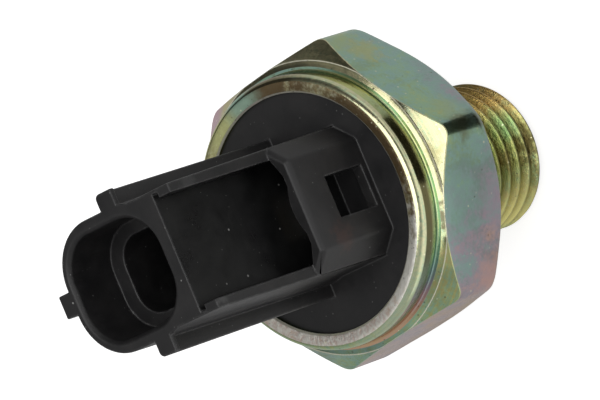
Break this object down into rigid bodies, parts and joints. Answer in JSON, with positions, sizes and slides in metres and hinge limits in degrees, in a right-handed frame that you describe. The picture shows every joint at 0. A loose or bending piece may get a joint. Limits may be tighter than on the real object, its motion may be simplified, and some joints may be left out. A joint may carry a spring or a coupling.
{
  "type": "oil pressure sender",
  "caption": "Hexagonal plated steel body with a threaded stem and an oil port, and a black moulded connector with an oval socket and a latch bridge crimped into its rim.",
  "frame": {"origin": "middle of the hexagon's seat face, on the axis of the oil port", "axes": "+Z from the threaded stem to the mouth of the connector; the latch side faces -Y"},
  "size_m": [0.0282, 0.0302, 0.0498],
  "materials": {
    "zinc_steel": "yellow passivated zinc plating, with pink and green tints",
    "black_plastic": "satin moulded, glass filled, slightly dusty",
    "terminal_brass": "tinned",
    "spring_bronze": "drawn phosphor bronze wire",
    "contact_brass": "silver flashed",
    "pale_plastic": "natural moulded",
    "ring_steel": "turned, zinc plated",
    "amber_film": "clear amber polyimide film",
    "seal_rubber": "satin"
  },
  "bodies": {
    "sender": {"hex_body": "zinc_steel", "connector_housing": "black_plastic", "terminal_blade": "terminal_brass", "contact_spring": "spring_bronze", "contact_ring": "ring_steel", "diaphragm": "amber_film", "diaphragm_seal": "seal_rubber", "base_seal": "seal_rubber"},
    "contact_slide": {"contact_plate": "contact_brass", "plunger": "pale_plastic"}
  },
  "joints": [
    {"name": "contact_lift", "type": "slide", "parent": "sender", "child": "contact_slide", "axis": [0, 0, 1], "range_m": [0, 0.0004], "stiffness_N_per_m": 2000, "springref_m": -0.0014, "deforming": ["contact_spring"]}
  ]
}
